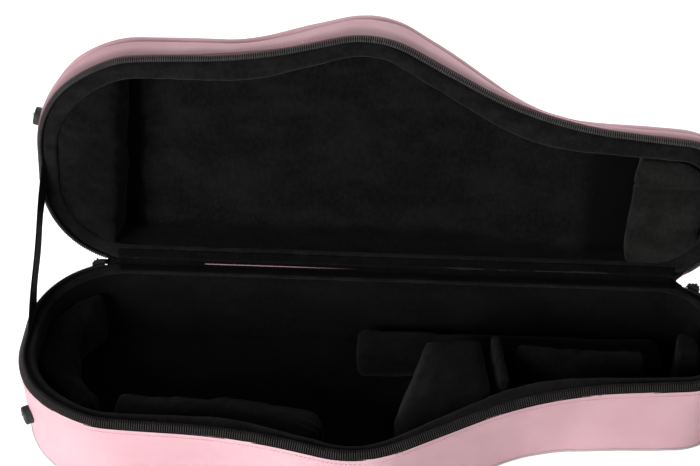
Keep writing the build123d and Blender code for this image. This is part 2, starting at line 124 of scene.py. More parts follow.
def loop(shares, inset, counts):
    """Points of an outline moved inwards: each arc and run in equal steps, without the last point."""
    start, centre, angle = corner_arcs(shares, inset)
    arcs, runs = counts
    pieces = []
    for i in range(len(shares)):
        steps = np.arange(arcs[i] + 1) / arcs[i]
        arc = turned(np.repeat(start[i:i + 1], len(steps), 0), centre[i], angle[i] * steps)
        following = start[(i + 1) % len(shares)]
        steps = (np.arange(1, runs[i]) / runs[i])[:, None]
        pieces += [arc, arc[-1] * (1 - steps) + following * steps]
    return np.concatenate(pieces)


TENTHS = 10000


def section(*points):
    """A section's points of (inset, depth), after a mix in some, from tenths of a millimetre."""
    return [(*mix, inset / TENTHS, depth / TENTHS) for *mix, inset, depth in points]


def lengths(grid):
    """Mean lengths along a grid's rows, or along a run of points, from 0 at its start."""
    steps = np.linalg.norm(np.diff(grid, axis=0), axis=-1)
    return np.concatenate([[0.0], np.cumsum(steps.reshape(len(steps), -1).mean(axis=1))])


def eased(value, low, high):
    """Smoothly from 0 to 1 as a value goes from low to high."""
    share = np.clip((value - low) / (high - low), 0, 1)
    return share * share * (3 - 2 * share)


def slack(flat):
    """The cloth's slack at the front corner of the bell end: the rim lies a little further in."""
    corner_x, reach, deepest = -0.322, 0.040, 0.0046
    along = np.exp(-((flat[:, 0] - corner_x) / reach) ** 2)
    return deepest * along * eased(0.02 - flat[:, 1], 0.0, 0.07)


def pulled(side, flat):
    """How far the cloth's slack and the lid's pull on its neck end move the rim inwards."""
    if side == "base":
        return slack(flat)
    return slack(flat) - LID_PULL * eased(flat[:, 0], 0.04, 0.20) * eased(-flat[:, 1], -0.02, 0.02)


LID_PULL = 0.0032
COUNTS = column_counts(RIM, COLUMN_SPACING)
RIM_LOOP = loop(RIM, 0.0, COUNTS)
RIM_LOOP[:, 1] += slack(RIM_LOOP)
RIM_RING = np.concatenate([RIM_LOOP, RIM_LOOP[:1]])
ALONG = lengths(RIM_RING)
GIRTH = ALONG[-1]
SPINE_STEP = 0.006
SPINE_ENDS = (-44, 50)
SPINE_LINE = ([-0.262, -0.05, 0.0, 0.1, 0.2, 0.3], [0.016, 0.006, 0.0, 0.03, 0.056, 0.058])
LID_RUNS = ([-LENGTH, 0.0675, 0.210, LENGTH], [0.064, 0.068, 0.039, 0.039])
LID_BEND = np.linspace(-0.014, 0.014, 9)


def spine(x):
    """The line that caps are drawn in to: steps along the middle of the plan, the same from both
    sides of it, so that the two sides weld."""
    first, last = SPINE_ENDS
    along = np.clip(np.round(x / SPINE_STEP) * SPINE_STEP, first * SPINE_STEP, last * SPINE_STEP)
    return along, np.interp(along, *SPINE_LINE)


def lid_depth(x):
    """The lid's depth: straight runs with their bends averaged over a short stretch."""
    return np.interp(x[..., None] + LID_BEND, *LID_RUNS).mean(axis=-1)


def about_hinge(points, angle):
    """Points turned about the hinge."""
    across, above = points[..., 1] - HINGE_Y, points[..., 2] - HINGE_Z
    cos, sin = math.cos(angle), math.sin(angle)
    return np.stack([
        points[..., 0], HINGE_Y + across * cos - above * sin, HINGE_Z + across * sin + above * cos,
    ], axis=-1)


def opened(points):
    """Points of the closed lid where they stand with the lid open."""
    return about_hinge(points, -OPEN_ANGLE)


def set_in(side, points):
    """From x, y and depth to the row frame, in the base or in the open lid."""
    if side == "base":
        return np.stack([points[..., 0], points[..., 1], BASE_HEIGHT - points[..., 2]], axis=-1)
    return opened(np.stack([points[..., 0], points[..., 1], LID_RIM + points[..., 2]], axis=-1))


def swept(side, rows):
    """A grid round the case, in x, y and depth. Row by row it mixes the two outlines, moves them
    inwards, adds the shares of the depth, and draws the points in to the spine."""
    grid = []
    for mix, inset, share, extra, drawn in rows:
        flat = loop(RIM, inset, COUNTS) * (1 - mix) + loop(SHELL, inset, COUNTS) * mix
        flat[:, 1] += pulled(side, flat) * (1 - share)
        middle = np.stack(spine(flat[:, 0]), axis=1)
        flat = flat * (1 - drawn) + middle * drawn
        deep = np.where(side == "base", BASE_HEIGHT, lid_depth(flat[:, 0]))
        grid.append(np.column_stack([flat, share * deep + extra]))
    return np.array(grid)


def waves(points, length, seed, octaves=3, count=10):
    """Smooth noise from -1 to about 1: sines in random directions, halved in length and height."""
    source = np.random.default_rng(seed)
    total = np.zeros(points.shape[:-1])
    for octave in range(octaves):
        heading = source.normal(size=(count, points.shape[-1]))
        heading /= np.linalg.norm(heading, axis=1, keepdims=True)
        heading *= (2 * math.pi * 2 ** octave / length) * source.uniform(0.6, 1.2, (count, 1))
        phase = source.uniform(0, 2 * math.pi, count)
        total += np.sin(points @ heading.T + phase).sum(axis=-1) / (math.sqrt(count) * 1.6 ** octave)
    return total / 1.7


def grid_normals(grid, closed=True):
    """Unit normals of a grid: columns' direction crossed with rows' direction."""
    if closed:
        across = np.roll(grid, -1, axis=1) - np.roll(grid, 1, axis=1)
    else:
        across = np.gradient(grid, axis=1)
    normal = np.cross(across, np.gradient(grid, axis=0))
    return normal / np.maximum(np.linalg.norm(normal, axis=-1, keepdims=True), 1e-9)


def make_piece(name, points, faces, uv=None, smooth=True):
    """A mesh object from arrays of points and of faces with equal corner counts."""
    mesh = bpy.data.meshes.new(name)
    faces = np.asarray(faces, np.int32)
    mesh.vertices.add(len(points))
    mesh.vertices.foreach_set("co", np.asarray(points, np.float32).ravel())
    mesh.loops.add(faces.size)
    mesh.loops.foreach_set("vertex_index", faces.ravel())
    mesh.polygons.add(len(faces))
    mesh.polygons.foreach_set("loop_start", np.arange(len(faces), dtype=np.int32) * faces.shape[1])
    mesh.update(calc_edges=True)
    mesh.polygons.foreach_set("use_smooth", np.full(len(faces), smooth))
    if uv is not None:
        layer = mesh.uv_layers.new(name="Cloth")
        layer.data.foreach_set("uv", np.asarray(uv, np.float32)[faces.ravel()].ravel())
    mesh.validate()
    piece = bpy.data.objects.new(name, mesh)
    bpy.context.scene.collection.objects.link(piece)
    return piece


def grid_faces(grid):
    """The points' numbers in a grid's rows and columns, and its faces."""
    index = np.arange(grid.shape[0] * grid.shape[1]).reshape(grid.shape[:2])
    corners = [index[:-1, :-1], index[:-1, 1:], index[1:, 1:], index[1:, :-1]]
    return index, np.stack(corners, axis=-1).reshape(-1, 4)


def grid_piece(name, grid, closed=True, flip=False):
    """A mesh from a grid of rows and columns, with a cloth map in metres along both. The seam
    column is doubled, so that the map doesn't run back over the last face."""
    if closed:
        grid = np.concatenate([grid, grid[:, :1]], axis=1)
    uv = np.stack(np.meshgrid(ALONG if closed else lengths(grid[0]), lengths(grid)), axis=-1).reshape(-1, 2)
    faces = grid_faces(grid)[1]
    piece = make_piece(name, grid.reshape(-1, 3), faces[:, ::-1] if flip else faces, uv)
    weld(piece)
    return piece


def reworked(piece, change):
    """Changes a piece's mesh."""
    work = bmesh.new()
    work.from_mesh(piece.data)
    change(work)
    work.to_mesh(piece.data)
    work.free()


def weld(piece, distance=1e-5):
    """Merges points that lie on each other, which closes seams and poles. The map stays."""
    def merge(work):
        bmesh.ops.remove_doubles(work, verts=work.verts, dist=distance)
        bmesh.ops.dissolve_degenerate(work, edges=work.edges, dist=distance / 10)
    reworked(piece, merge)


def ring_piece(name, side, rows, relief=None):
    """A sweep round the case as a piece on its body. relief is a function of the grid, and moves
    its points along their normals, but not those at the spine."""
    grid = swept(side, rows)
    if relief is not None:
        height = relief(grid) * np.array([row[4] < 1.0 for row in rows])[:, None]
        grid = grid + grid_normals(grid) * height[..., None]
    piece = grid_piece(name, set_in(side, grid), flip=side == "base")
    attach(piece, side)
    return piece


def along_rim(positions):
    """Points, tangents and inward normals of the rim outline at lengths along it."""
    step = 0.001

    def place(at):
        at = np.mod(at, GIRTH)
        return np.stack([np.interp(at, ALONG, RIM_RING[:, k]) for k in range(2)], axis=1)

    tangent = place(positions + step) - place(positions - step)
    tangent /= np.linalg.norm(tangent, axis=1, keepdims=True)
    return place(positions), tangent, np.stack([-tangent[:, 1], tangent[:, 0]], axis=1)


def repeated(name, side, positions, points, faces):
    """One small shape set along the rim many times. Its points are (along, inset, depth)."""
    place, tangent, inward = along_rim(positions)
    place[:, 1] += pulled(side, place) - slack(place)
    flat = place[:, None] + tangent[:, None] * points[None, :, :1] + inward[:, None] * points[None, :, 1:2]
    depth = np.broadcast_to(points[None, :, 2:], flat.shape[:2] + (1,))
    placed = set_in(side, np.concatenate([flat, depth], axis=-1)).reshape(-1, 3)
    offsets = (np.arange(len(positions)) * len(points))[:, None, None]
    every = (faces[None] + offsets).reshape(-1, faces.shape[1])
    piece = make_piece(name, placed, every[:, ::-1] if side == "base" else every)
    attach(piece, side)
    return piece


def at_hinge(place):
    """Which places on the rim lie where the zip stops for the hinge."""
    x_low, x_high = HINGE_LEFT - ZIP_STOP, HINGE_RIGHT + ZIP_STOP
    return (place[:, 1] > 0.1) & (place[:, 0] > x_low) & (place[:, 0] < x_high)


def tube(sides):
    """The points and faces of a tube, from its points along each of its sides."""
    points = np.stack(sides, axis=1)
    index = np.arange(points.shape[0] * points.shape[1]).reshape(points.shape[:2])
    follow = np.roll(index, -1, axis=1)
    faces = np.stack([index[:-1], follow[:-1], follow[1:], index[1:]], axis=-1).reshape(-1, 4)
    return points.reshape(-1, 3), faces


def bar(path, widths, heights, half_width):
    """A short rounded bar along a path of (inset, depth): six-sided rings, closed at both ends."""
    path = np.asarray(path)
    run = np.gradient(path, axis=0)
    run /= np.linalg.norm(run, axis=1, keepdims=True)
    out = np.stack([run[:, 1], -run[:, 0]], axis=1)
    sides = []
    for angle in np.arange(6) * math.pi / 3:
        wide = np.cos(angle) * half_width * np.asarray(widths)
        lift = out * (np.sin(angle) * np.asarray(heights))[:, None]
        sides.append(np.column_stack([wide, path + lift]))
    points, faces = tube(sides)
    start = np.array([[0, 5, 4, 3], [3, 2, 1, 0]])
    end = np.array([[0, 1, 2, 3], [3, 4, 5, 0]]) + len(points) - 6
    return points, np.concatenate([faces, start, end])


# Finishes ------------------------------------------------------------------------------------

class Value:
    """A socket of a finish, with the sums that the finishes use."""

    def __init__(self, finish, socket):
        self.finish = finish
        self.socket = socket

    def sum(self, operation, *others, clamp=False):
        """This value and others through one Math node."""
        settings = {"operation": operation, "use_clamp": clamp}
        return self.finish.node("ShaderNodeMath", settings, dict(enumerate((self, *others))))

    def __add__(self, other): return self.sum("ADD", other)
    def __sub__(self, other): return self.sum("SUBTRACT", other)
    def __mul__(self, other): return self.sum("MULTIPLY", other)
    def __rsub__(self, other): return (self * -1).sum("ADD", other)
    __radd__ = __add__
    __rmul__ = __mul__

    def sine(self): return self.sum("SINE")
    def held(self): return self.sum("ADD", 0.0, clamp=True)

    def between(self, low, high, to_low=0.0, to_high=1.0):
        """Smoothly from one number to another as this goes from low to high."""
        inputs = {"Value": self, "From Min": low, "From Max": high, "To Min": to_low, "To Max": to_high}
        return self.finish.node("ShaderNodeMapRange", {"interpolation_type": "SMOOTHSTEP"}, inputs)


class Finish:
    """A material with one Principled shader, built from expressions."""

    def __init__(self, name, colour, roughness, **sockets):
        self.material = bpy.data.materials.new(name)
        self.material.use_nodes = True
        self.tree = self.material.node_tree
        self.tree.nodes.clear()
        self.shader = self.tree.nodes.new("ShaderNodeBsdfPrincipled")
        output = self.tree.nodes.new("ShaderNodeOutputMaterial")
        self.tree.links.new(self.shader.outputs[0], output.inputs[0])
        self.material.diffuse_color = (*colour[:3], 1)
        self.set("Base Color", (*colour[:3], 1))
        self.set("Roughness", roughness)
        for socket, value in sockets.items():
            self.set(socket.replace("_", " "), value)

    def join(self, value, socket):
        """Gives a socket a value or a link."""
        if isinstance(value, Value):
            self.tree.links.new(value.socket, socket)
        else:
            socket.default_value = value

    def set(self, socket, value):
        """Gives one of the shader's sockets a value or a link."""
        self.join(value, self.shader.inputs[socket])

    def node(self, kind, settings, inputs, output=0):
        """Any node: its settings first, then its sockets' values or links."""
        node = self.tree.nodes.new(kind)
        for key, value in settings.items():
            setattr(node, key, value)
        for key, value in inputs.items():
            self.join(value, node.inputs[key])
        return Value(self, node.outputs[output])

    def place(self):
        """The place on the piece, in metres."""
        return self.node("ShaderNodeTexCoord", {}, {}, "Object")

    def cloth(self):
        """Length along and across the cloth, in metres, as two values."""
        both = self.node("ShaderNodeUVMap", {"uv_map": "Cloth"}, {})
        split = self.node("ShaderNodeSeparateXYZ", {}, {0: both})
        return split, Value(self, split.socket.node.outputs[1])

    def noise(self, scale, detail=2.0, roughness=0.5, at=None, stretch=None):
        """Noise from 0 to 1. scale is bumps per metre, stretch divides it by axis."""
        at = at or self.place()
        if stretch:
            at = self.node("ShaderNodeMapping", {}, {"Vector": at, "Scale": stretch})
        inputs = {"Vector": at, "Scale": scale, "Detail": detail, "Roughness": roughness}
        return self.node("ShaderNodeTexNoise", {}, inputs)

    def blend(self, share, low, high):
        """A colour between two colours."""
        low, high = [(*end, 1) if isinstance(end, tuple) else end for end in (low, high)]
        return self.node("ShaderNodeMix", {"data_type": "RGBA"}, {0: share, 6: low, 7: high}, 2)

    def bump(self, height, distance, strength=1.0):
        """Relief from a height from 0 to 1 that stands for a real distance."""
        inputs = {"Height": height, "Distance": distance, "Strength": strength}
        self.set("Normal", self.node("ShaderNodeBump", {}, inputs))


def dimmed(colour, share):
    """A colour times a share."""
    return tuple(part * share for part in colour)


WEAVE_PITCH = 0.0011
TWILL_PITCH = 0.0009
# Dark maroon at the lid cloth's hem edge: painted shadow where the cloth turns under.
HEM_SHADOW_LINE = (0.110, 0.035, 0.045)
BINDING = (0.560, 0.330, 0.370)
# Near black for the painted shadow bands by the pads.
PAD_SHADOW_BLACK = (0.0001, 0.0001, 0.0001)


def pink_cloth(name, light, dark, shaded_hem=None):
    """Nylon pack cloth: plain weave on the cloth map, soft shade changes and a satin sheen. It may
    have painted shade up to a hem, between two places across the cloth, and a painted shadow line at the hem."""
    finish = Finish(
        name, light, 0.55, Sheen_Weight=0.06, Sheen_Roughness=0.4,
        Sheen_Tint=(1.0, 0.70, 0.76, 1.0), Specular_IOR_Level=0.25,
    )
    along, across = finish.cloth()
    thread = 2 * math.pi / WEAVE_PITCH
    weave = (along * thread).sine() * (across * thread).sine() * 0.5 + 0.5
    slubs = finish.noise(900, 3.0)
    shade = finish.noise(14, 3.0, 0.55)
    colour = finish.blend(shade.between(0.30, 0.72), dark, light)
    if shaded_hem:
        # Painted shade: the cloth darkens towards the hem, then a painted shadow line at the hem's edge.
        wander = finish.noise(22, 2.0) * 0.006 - 0.003
        start, end = shaded_hem
        colour = finish.blend((across + wander).between(start, end), colour, dimmed(dark, 0.42))
        colour = finish.blend(across.between(end, end + 0.0022), colour, HEM_SHADOW_LINE)
    shaded = finish.blend(weave * 0.16 + slubs * 0.14, colour, dimmed(dark, 0.72))
    finish.set("Base Color", shaded)
    finish.set("Roughness", slubs.between(0.2, 0.8, 0.46, 0.62))
    finish.bump(weave * 0.7 + slubs * 0.3, 0.00022, 0.55)
    return finish.material


def plush(name, deep, tip, patch, sheen, painted_shadow_bands=(), binding=None):
    """Short black pile: strokes where it was brushed, matted spots, and a fine nap. Across bands
    (from, full, full, to) along X it is painted nearly black: painted shadow by the pads. A pink
    binding may show: (place across the cloth, start and end along it)."""
    finish = Finish(
        name, tip, 0.92, Sheen_Weight=sheen, Sheen_Roughness=0.55,
        Sheen_Tint=(0.75, 0.75, 0.8, 1.0), Specular_IOR_Level=0.08,
    )
    nap = finish.noise(1500, 3.0, 0.65)
    tufts = finish.noise(330, 4.0, 0.6, stretch=(1.0, 1.0, 0.55))
    strokes = finish.noise(patch, 4.0, 0.62, stretch=(0.6, 1.0, 1.0))
    share = strokes.between(0.38, 0.66) * 0.5 + tufts.between(0.35, 0.70) * 0.32 + nap.between(0.3, 0.7) * 0.18
    colour = finish.blend(share, deep, tip)
    if painted_shadow_bands:
        # Painted shadow: nearly black bands along X by the pads.
        x = finish.node("ShaderNodeSeparateXYZ", {}, {0: finish.place()}) + (strokes - 0.5) * 0.03
        for start, full, still, end in painted_shadow_bands:
            band = x.between(start, full) * x.between(still, end, 1.0, 0.0)
            colour = finish.blend(band, colour, PAD_SHADOW_BLACK)
    if binding:
        at, start, end = binding
        half, edge, fades_from = 0.0002, 0.0006, start * 0.6 + end * 0.4
        along, across = finish.cloth()
        line = across.between(at - edge, at - half) * across.between(at + half, at + edge, 1.0, 0.0)
        line = line * along.between(start, start + 0.004) * along.between(fades_from, end, 1.0, 0.0)
        colour = finish.blend(line, colour, BINDING)
    finish.set("Base Color", colour)
    finish.set("Roughness", tufts.between(0.2, 0.8, 0.97, 0.82))
    finish.bump(nap * 0.4 + tufts * 0.6, 0.0012, 0.8)
    return finish.material


def webbing_finish(name, colour, rib):
    """Woven tape: ribs across the cloth map, with a fine twill."""
    finish = Finish(name, colour, 0.78, Sheen_Weight=0.02, Sheen_Roughness=0.5, Specular_IOR_Level=0.1)
    along, across = finish.cloth()
    ribs = (along * (2 * math.pi / rib)).sine() * 0.5 + 0.5
    twill = ((along + across) * (2 * math.pi / TWILL_PITCH)).sine() * 0.5 + 0.5
    fuzz = finish.noise(800, 3.0)
    shade = finish.blend(ribs * 0.5 + fuzz * 0.5, dimmed(colour, 0.35), dimmed(colour, 1.8))
    finish.set("Base Color", shade)
    finish.bump(ribs * 0.6 + twill * 0.25 + fuzz * 0.15, 0.0004, 0.7)
    return finish.material


def moulded(name, colour, roughness, grain, depth, **sockets):
    """Moulded rubber or plastic, or cast metal: a fine grain and faint wear."""
    finish = Finish(name, colour, roughness, **sockets)
    fine = finish.noise(grain, 3.0)
    wear = finish.noise(60, 4.0, 0.6)
    lighter = tuple(min(1.0, c * 1.6 + 0.01) for c in colour)
    finish.set("Base Color", finish.blend(wear.between(0.45, 0.8), tuple(colour), lighter))
    finish.set("Roughness", wear.between(0.3, 0.7, roughness - 0.08, roughness + 0.1))
    finish.bump(fine, depth, 0.4)
    return finish.material


PINK_SHADES = ((0.860, 0.545, 0.600), (0.790, 0.470, 0.525))
PINK = pink_cloth("pink_pack_cloth", *PINK_SHADES)
PINK_CORD = pink_cloth("pink_piping_cloth", (0.380, 0.175, 0.220), (0.320, 0.140, 0.185))
GREY_CORD = pink_cloth("grey_piping_cloth", (0.620, 0.590, 0.600), (0.520, 0.500, 0.510))
PLUSH = plush("black_plush", (0.0006, 0.0006, 0.0006), (0.0048, 0.0046, 0.0046), 26.0, 0.04)
# The lid's lining has painted shadow bands beside its end pad and its neck pad.
LID_PLUSH = plush(
    "lid_plush", (0.0014, 0.0013, 0.0013), (0.0092, 0.0086, 0.0083), 26.0, 0.05,
    [(-0.300, -0.290, -0.271, -0.263), (0.212, 0.238, 0.285, 0.295)],
)
# The end pad has a painted shadow band on its inner side.
END_PLUSH = plush(
    "lid_end_plush", (0.0011, 0.0010, 0.0010), (0.0068, 0.0065, 0.0062), 34.0, 0.06,
    [(-0.298, -0.285, -0.200, -0.190)],
)
# The lip is a lighter copy of the black plush: painted sheen where light catches it.
LIP_PLUSH_PAINTED_SHEEN = plush("lip_plush", (0.0026, 0.0025, 0.0025), (0.0130, 0.0126, 0.0122), 60.0, 0.08)
PAD_PLUSH = plush("cushion_plush", (0.0009, 0.0008, 0.0008), (0.0062, 0.0057, 0.0056), 34.0, 0.06)
# The lid's neck pad is a lighter copy of the black plush: painted sheen on the raised pad.
NECK_PLUSH_PAINTED_SHEEN = plush("lid_pad_plush", (0.0048, 0.0046, 0.0043), (0.0190, 0.0184, 0.0172), 34.0, 0.08)
TAPE = webbing_finish("zip_tape_weave", (0.0050, 0.0040, 0.0045), 0.0012)
STRAP = webbing_finish("stay_strap_weave", (0.0018, 0.0016, 0.0015), 0.0021)
TEETH = moulded("zip_coil", (0.015, 0.012, 0.012), 0.42, 2500, 0.00003, Specular_IOR_Level=0.25)
# The lid's coil is the same black nylon as the base's, made lighter as painted highlights on its teeth.
LID_TEETH_PAINTED_HIGHLIGHT = moulded("lid_zip_coil", (0.060, 0.055, 0.055), 0.38, 2500, 0.00003, Specular_IOR_Level=0.4)
RUBBER = moulded("foot_rubber", (0.014, 0.014, 0.015), 0.62, 1600, 0.00008)
BLACK_METAL = moulded("slider_lacquer", (0.020, 0.020, 0.022), 0.34, 1200, 0.00003, Metallic=0.0, Coat_Weight=0.4)
RIVET = moulded("rivet_steel", (0.640, 0.640, 0.655), 0.28, 900, 0.00003, Metallic=1.0)
# The stitches are darker than the cloth: partly the thread's own colour, partly painted shade of the stitch
# holes.
THREAD = webbing_finish("pink_thread", (0.700, 0.430, 0.490), 0.0006)


def dress(piece, material, replaces=()):
    """Gives a piece its finish, and hides the CAD nodes that it stands for."""
    piece.data.materials.clear()
    piece.data.materials.append(material)
    if replaces:
        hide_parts(*replaces)
    return piece


# Outer shells ---------------------------------------------------------------------------------

def flat_rows(inset, depth, draws):
    """Rows over a flat side, each drawn in to the spine by a share."""
    return [(1.0, inset, 1.0, depth, drawn) for drawn in draws]


def round_edge(inset, depth, radius, steps=6):
    """Rows round the outer edge of a shell, from the flat side to the wall."""
    rows = []
    for angle in np.linspace(0, math.pi / 2, steps):
        back, down = radius * (1 - math.sin(angle)), radius * (1 - math.cos(angle))
        rows.append((1.0, inset + back, 1.0, depth - down, 0.0))
    return rows


def cloth_relief(height, length, seed):
    """Slack in cloth over foam: broad swells and a few slanting creases."""
    def relief(grid):
        swell = waves(grid * np.array([1.0, 1.0, 1.6]), length, seed, 2)
        crease = waves(grid * np.array([1.0, 1.0, 0.45]), length * 0.42, seed + 1, 2)
        return height * (0.7 * swell - 0.5 * np.clip(np.abs(crease) * -3.0 + 0.55, 0, 1))
    return relief


def long_folds(height, length, seed):
    """Slack cloth that the zip pulls along: soft folds that run round the lid's wall."""
    swell = cloth_relief(height, length, seed)

    def relief(grid):
        fold = waves(grid * np.array([0.22, 0.22, 1.9]), 0.030, seed + 7, 2)
        return swell(grid) + 0.0006 * fold
    return relief


EDGE = 0.012
BASE_WALL_INSET = 0.0018
base_rows = flat_rows(0.003 + EDGE, 0.0, (1.0, 0.75, 0.5, 0.28, 0.12, 0.03))
base_rows += round_edge(BASE_WALL_INSET, 0.0, EDGE)
base_rows += [(left, BASE_WALL_INSET * left, left, -EDGE * left, 0.0) for left in 1 - np.linspace(0, 1, 16)[1:]]
base_outside = ring_piece("base_cloth", "base", base_rows, cloth_relief(0.0007, 0.075, 11))
dress(base_outside, PINK, ["base_bottom_panel", "base_side_band", "base_foam_shell"])

# The lid's wall is a roll, a seam, and a swell that draws in to the hem over the zip's tape
LID_SEAM = 0.0190
LID_BULGE = -0.0046
ROLL = section((-47, -140), (-43, -160), (-32, -178))
SWELL = {
    1.0: -12, 0.97: -22, 0.93: -32, 0.86: -41, 0.76: -46, 0.64: -46, 0.52: -42, 0.40: -35, 0.29: -27,
    0.19: -18, 0.10: -10, 0.04: -4,
}
HEM = section((-5, -9), (1, -18), (8, -19), (12, -10))
lid_rows = flat_rows(LID_BULGE + EDGE, 0.0, (1.0, 0.8, 0.6, 0.42, 0.26, 0.14, 0.05))
lid_rows += round_edge(LID_BULGE, 0.0, EDGE, 8)
lid_rows += [(1.0, inset, 1.0, depth, 0.0) for inset, depth in ROLL]
lid_rows += [(share, out / TENTHS, share, -LID_SEAM * share, 0.0) for share, out in SWELL.items()]
lid_rows += [(0.0, inset, 0.0, depth, 0.0) for inset, depth in HEM]
lid_outside = ring_piece("lid_cloth", "lid", lid_rows, long_folds(0.0007, 0.085, 23))
hem_at = max(corner.uv[1] for corner in lid_outside.data.uv_layers["Cloth"].data)
# The lid's cloth, with painted shade from 25 to 5 mm before its hem.
LID_PINK = pink_cloth("lid_pack_cloth", *PINK_SHADES, (hem_at - 0.025, hem_at - 0.005))
dress(lid_outside, LID_PINK, ["lid_panel", "lid_side_band", "lid_foam_shell"])


def cord_rows(inset, extra, radius):
    """Rows of a thin round cord along a wall."""
    rows = []
    for angle in np.linspace(0, 2 * math.pi, 11):
        rows.append((1.0, inset - radius * math.sin(angle), 1.0, extra + radius * math.cos(angle), 0.0))
    return rows


base_piping = ring_piece("base_piping_cord", "base", cord_rows(0.0016, -0.0105, 0.0012))
dress(base_piping, GREY_CORD, ["base_piping"])
lid_piping = ring_piece("lid_piping_cord", "lid", cord_rows(-0.0014, -LID_SEAM, 0.0009))
dress(lid_piping, PINK_CORD, ["lid_piping"])

# Zip ------------------------------------------------------------------------------------------

# Sections as (inset, depth): the tape leans in, less in the lid, and the coil lies over its edge
TAPE_PATH = {
    "base": section(
        (-2, 14), (-3, 4), (3, -6), (24, -34), (45, -60), (51, -62), (55, -56), (36, -24), (24, 10),
    ),
    "lid": section(
        (10, 10), (10, -10), (14, -30), (22, -48), (29, -60), (34, -62), (39, -56), (30, -24), (24, 10),
    ),
}
TOOTH_PATH = {
    "base": section((-3, -9), (14, -34), (32, -56), (46, -69), (60, -72), (70, -62), (72, -46)),
    "lid": section((5, -16), (8, -32), (16, -52), (28, -67), (42, -71), (53, -61), (55, -45)),
}
TOOTH_WIDTHS = [0.75, 0.9, 0.9, 1.0, 1.0, 1.0, 0.6]
TOOTH_HEIGHTS = [0.0004, 0.0005, 0.0006, 0.0007, 0.0007, 0.0006, 0.0004]
TOOTH_HALF_WIDTH = 0.00074
TOOTH_PITCH = 0.00238
STITCH_PITCH = 0.0046


def stitch_shape(inset, depth, length, radius):
    """One stitch: a short bar along the rim, sunk at both ends."""
    at = np.array([-0.5, -0.3, 0.0, 0.3, 0.5]) * length
    sink = np.array([0.0005, 0.0001, 0.0, 0.0001, 0.0005])
    sides = []
    for angle in np.arange(5) * 2 * math.pi / 5:
        out, down = radius * math.cos(angle), radius * math.sin(angle)
        sides.append(np.column_stack([at, inset + sink - out, depth + down + 0 * at]))
    return tube(sides)


def zip_side(side):
    """One half of the zip: the tape with its ends cut at the hinge, the coil, and the stitches."""
    grid = set_in(side, swept(side, [(0.0, inset, 0.0, depth, 0.0) for inset, depth in TAPE_PATH[side]]))
    cut = at_hinge(RIM_LOOP)
    first = int(np.flatnonzero(cut)[-1]) + 1
    order = (np.arange(len(RIM_LOOP)) + first) % len(RIM_LOOP)
    order = order[~cut[order]]
    tape = grid_piece(side + "_zip_weave", grid[:, order], closed=False, flip=side == "base")
    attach(tape, side)
    dress(tape, TAPE, [side + "_zip_tape"])
    between = 0.5 if side == "lid" else 0.0
    positions = (np.arange(int(GIRTH / TOOTH_PITCH)) + between) * TOOTH_PITCH
    positions = positions[~at_hinge(along_rim(positions)[0])]
    tooth = bar(TOOTH_PATH[side], TOOTH_WIDTHS, TOOTH_HEIGHTS, TOOTH_HALF_WIDTH)
    teeth = repeated(side + "_zip_coil", side, positions, *tooth)
    dress(teeth, LID_TEETH_PAINTED_HIGHLIGHT if side == "lid" else TEETH, [side + "_zip_teeth"])
    positions = np.arange(int(GIRTH / STITCH_PITCH)) * STITCH_PITCH
    stitch = stitch_shape(-0.0003, 0.0068, 0.0026, 0.00032)
    stitches = repeated(side + "_rim_stitches", side, positions, *stitch)
    dress(stitches, THREAD)


for side in ("base", "lid"):
    zip_side(side)

# Lips and linings -----------------------------------------------------------------------------

# Sections as (mix of rim and shell outline, inset, depth): low in the base, wide in the lid
LIP_PATH = {
    "base": section(
        (0.0, 24, 12), (0.0, 28, -8), (0.35, 52, -13), (0.7, 78, -14), (0.9, 90, -18), (1.0, 99, -27),
        (1.0, 116, -32), (1.0, 136, -31), (1.0, 153, -24), (1.0, 163, -10), (1.0, 164, 6), (1.0, 150, 16),
    ),
    "lid": section(
        (0.0, 30, 12), (0.0, 34, -8), (0.1, 50, -13), (0.2, 62, -16), (0.3, 70, -30), (0.4, 84, -44),
        (0.55, 106, -51), (0.7, 132, -53), (0.85, 160, -53), (1.0, 184, -51), (1.0, 203, -43),
        (1.0, 215, -26), (1.0, 220, -6), (1.0, 218, 10), (1.0, 212, 18),
    ),
}


def lip_relief(height, seed):
    """Soft swells and a few long shallow folds that run with the lip."""
    def relief(grid):
        swell = waves(grid, 0.030, seed, 3)
        angle = np.linspace(0, 1, grid.shape[0])[:, None]
        drift = waves(grid[len(grid) // 2][None], 0.16, seed + 1, 2)
        fold = np.clip(1 - np.abs(angle - 0.62 - 0.16 * drift) * 16, 0, 1)
        return height * (swell - 2.2 * (fold * np.clip(waves(grid, 0.11, seed + 2, 1), 0, 1)))
    return relief


for side, height, seed in (("base", 0.0003, 31), ("lid", 0.0004, 37)):
    rows = [(mix, inset, 0.0, depth, 0.0) for mix, inset, depth in LIP_PATH[side]]
    lip = ring_piece(side + "_lip_roll", side, rows, lip_relief(height, seed))
    dress(lip, LIP_PLUSH_PAINTED_SHEEN, [side + "_lip"])


def lining_rows(top, inset):
    """Rows from the lip down a hollow's wall, round its corner and over its floor to the middle."""
    corner = 0.009
    rows = flat_rows(inset + corner, top, (1.0, 0.85, 0.7, 0.55, 0.42, 0.3, 0.2, 0.12, 0.05))
    rows += round_edge(inset, top, corner)
    for step in np.linspace(0, 1, 13)[1:]:
        rows.append((1.0, inset - 0.0004 * step, 1 - step, (top - corner) * (1 - step), 0.0))
    return rows[::-1]


def pile_relief(height, length, seed):
    """A loosely glued lining: soft swells with a few narrow wrinkles."""
    def relief(grid):
        swell = waves(grid, length, seed, 3)
        wrinkle = waves(grid * np.array([1.0, 1.0, 0.6]), length * 0.5, seed + 3, 2)
        return height * (swell + 0.8 * np.clip(1 - np.abs(wrinkle) * 6, 0, 1))
    return relief


